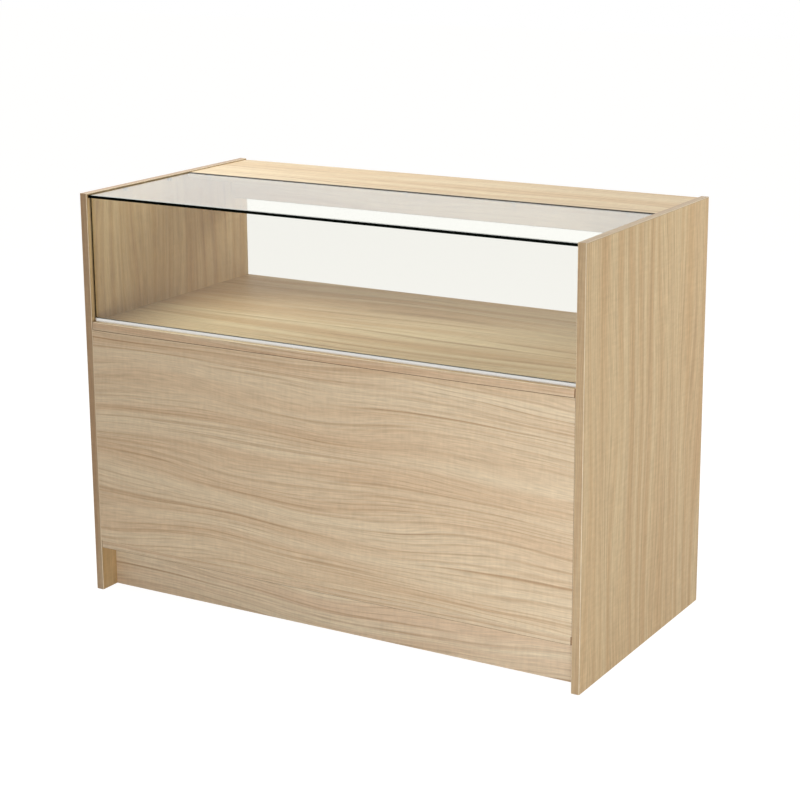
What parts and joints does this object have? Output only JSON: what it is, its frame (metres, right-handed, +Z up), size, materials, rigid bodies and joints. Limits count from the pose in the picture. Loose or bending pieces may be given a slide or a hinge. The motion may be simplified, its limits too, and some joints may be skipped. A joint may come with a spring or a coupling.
{
  "type": "glass display counter",
  "caption": "Shop counter in oak grained melamine board: glass topped and glass fronted display compartment, open to the server's side, above a cupboard with hinged lockable doors",
  "frame": {"origin": "on the floor, under the middle of the counter's width and depth", "axes": "+X to the right as seen by a customer, +Y away from the customer towards the server's side, +Z up"},
  "size_m": [1.2, 0.6, 0.9],
  "materials": {
    "board": "oak grained melamine faced chipboard, satin",
    "edging": "2 mm oak grained edge strip, rounded",
    "glass": "6 mm clear float glass, polished edges",
    "clear_plastic": "clear soft plastic",
    "aluminium": "satin anodised extrusion",
    "nickel": "nickel plated steel, satin",
    "zinc": "bright zinc plate",
    "beech": "fluted beech, raw",
    "nylon": "moulded nylon, off white"
  },
  "bodies": {
    "carcass": {"left_side_panel": "board", "right_side_panel": "board", "left_side_edging": "edging", "right_side_edging": "edging", "bottom_panel": "board", "bottom_edging": "edging", "display_deck": "board", "deck_edging": "edging", "front_panel": "board", "front_plinth": "board", "rear_plinth": "board", "centre_partition": "board", "partition_edging": "edging", "rear_top_board": "board", "top_board_edging": "edging", "header_rail": "board", "header_edging": "edging", "top_glass": "glass", "front_glass": "glass", "pane_bond": "clear_plastic", "glass_channel": "aluminium", "channel_liner": "clear_plastic", "channel_screws": "zinc", "glass_ledge": "aluminium", "ledge_screws": "nickel", "glass_studs": "nickel", "glass_pads": "clear_plastic", "left_shelf": "board", "right_shelf": "board", "shelf_edging": "edging", "shelf_pins": "nickel", "cam_discs": "zinc", "cam_bolts": "zinc", "wood_dowels": "beech", "pivot_pins": "nickel", "pivot_screws": "zinc", "lock_strikes": "nickel", "strike_screws": "zinc", "magnetic_catches": "nylon", "catch_screws": "zinc"},
    "left_door": {"left_door": "board", "left_door_edging": "edging", "left_door_bushes": "nylon", "left_cup_pull": "nickel", "left_lock_housing": "nickel", "left_lock_nut": "zinc", "left_catch_plate": "nickel"},
    "left_lock": {"left_lock_plug": "nickel", "left_lock_cam": "zinc", "left_cam_screw": "zinc"},
    "right_door": {"right_door": "board", "right_door_edging": "edging", "right_door_bushes": "nylon", "right_cup_pull": "nickel", "right_lock_housing": "nickel", "right_lock_nut": "zinc", "right_catch_plate": "nickel"},
    "right_lock": {"right_lock_plug": "nickel", "right_lock_cam": "zinc", "right_cam_screw": "zinc"}
  },
  "joints": [
    {"name": "left_door_hinge", "type": "hinge", "parent": "carcass", "child": "left_door", "pos_m": [-0.5675, 0.289, 0.359], "axis": [0, 0, 1], "range_deg": [0, 110]},
    {"name": "left_lock_turn", "type": "hinge", "parent": "left_door", "child": "left_lock", "pos_m": [-0.0415, 0.289, 0.568], "axis": [0, 1, 0], "range_deg": [0, 90]},
    {"name": "right_door_hinge", "type": "hinge", "parent": "carcass", "child": "right_door", "pos_m": [0.5675, 0.289, 0.359], "axis": [0, 0, -1], "range_deg": [0, 110]},
    {"name": "right_lock_turn", "type": "hinge", "parent": "right_door", "child": "right_lock", "pos_m": [0.0415, 0.289, 0.568], "axis": [0, -1, 0], "range_deg": [0, 90]}
  ]
}
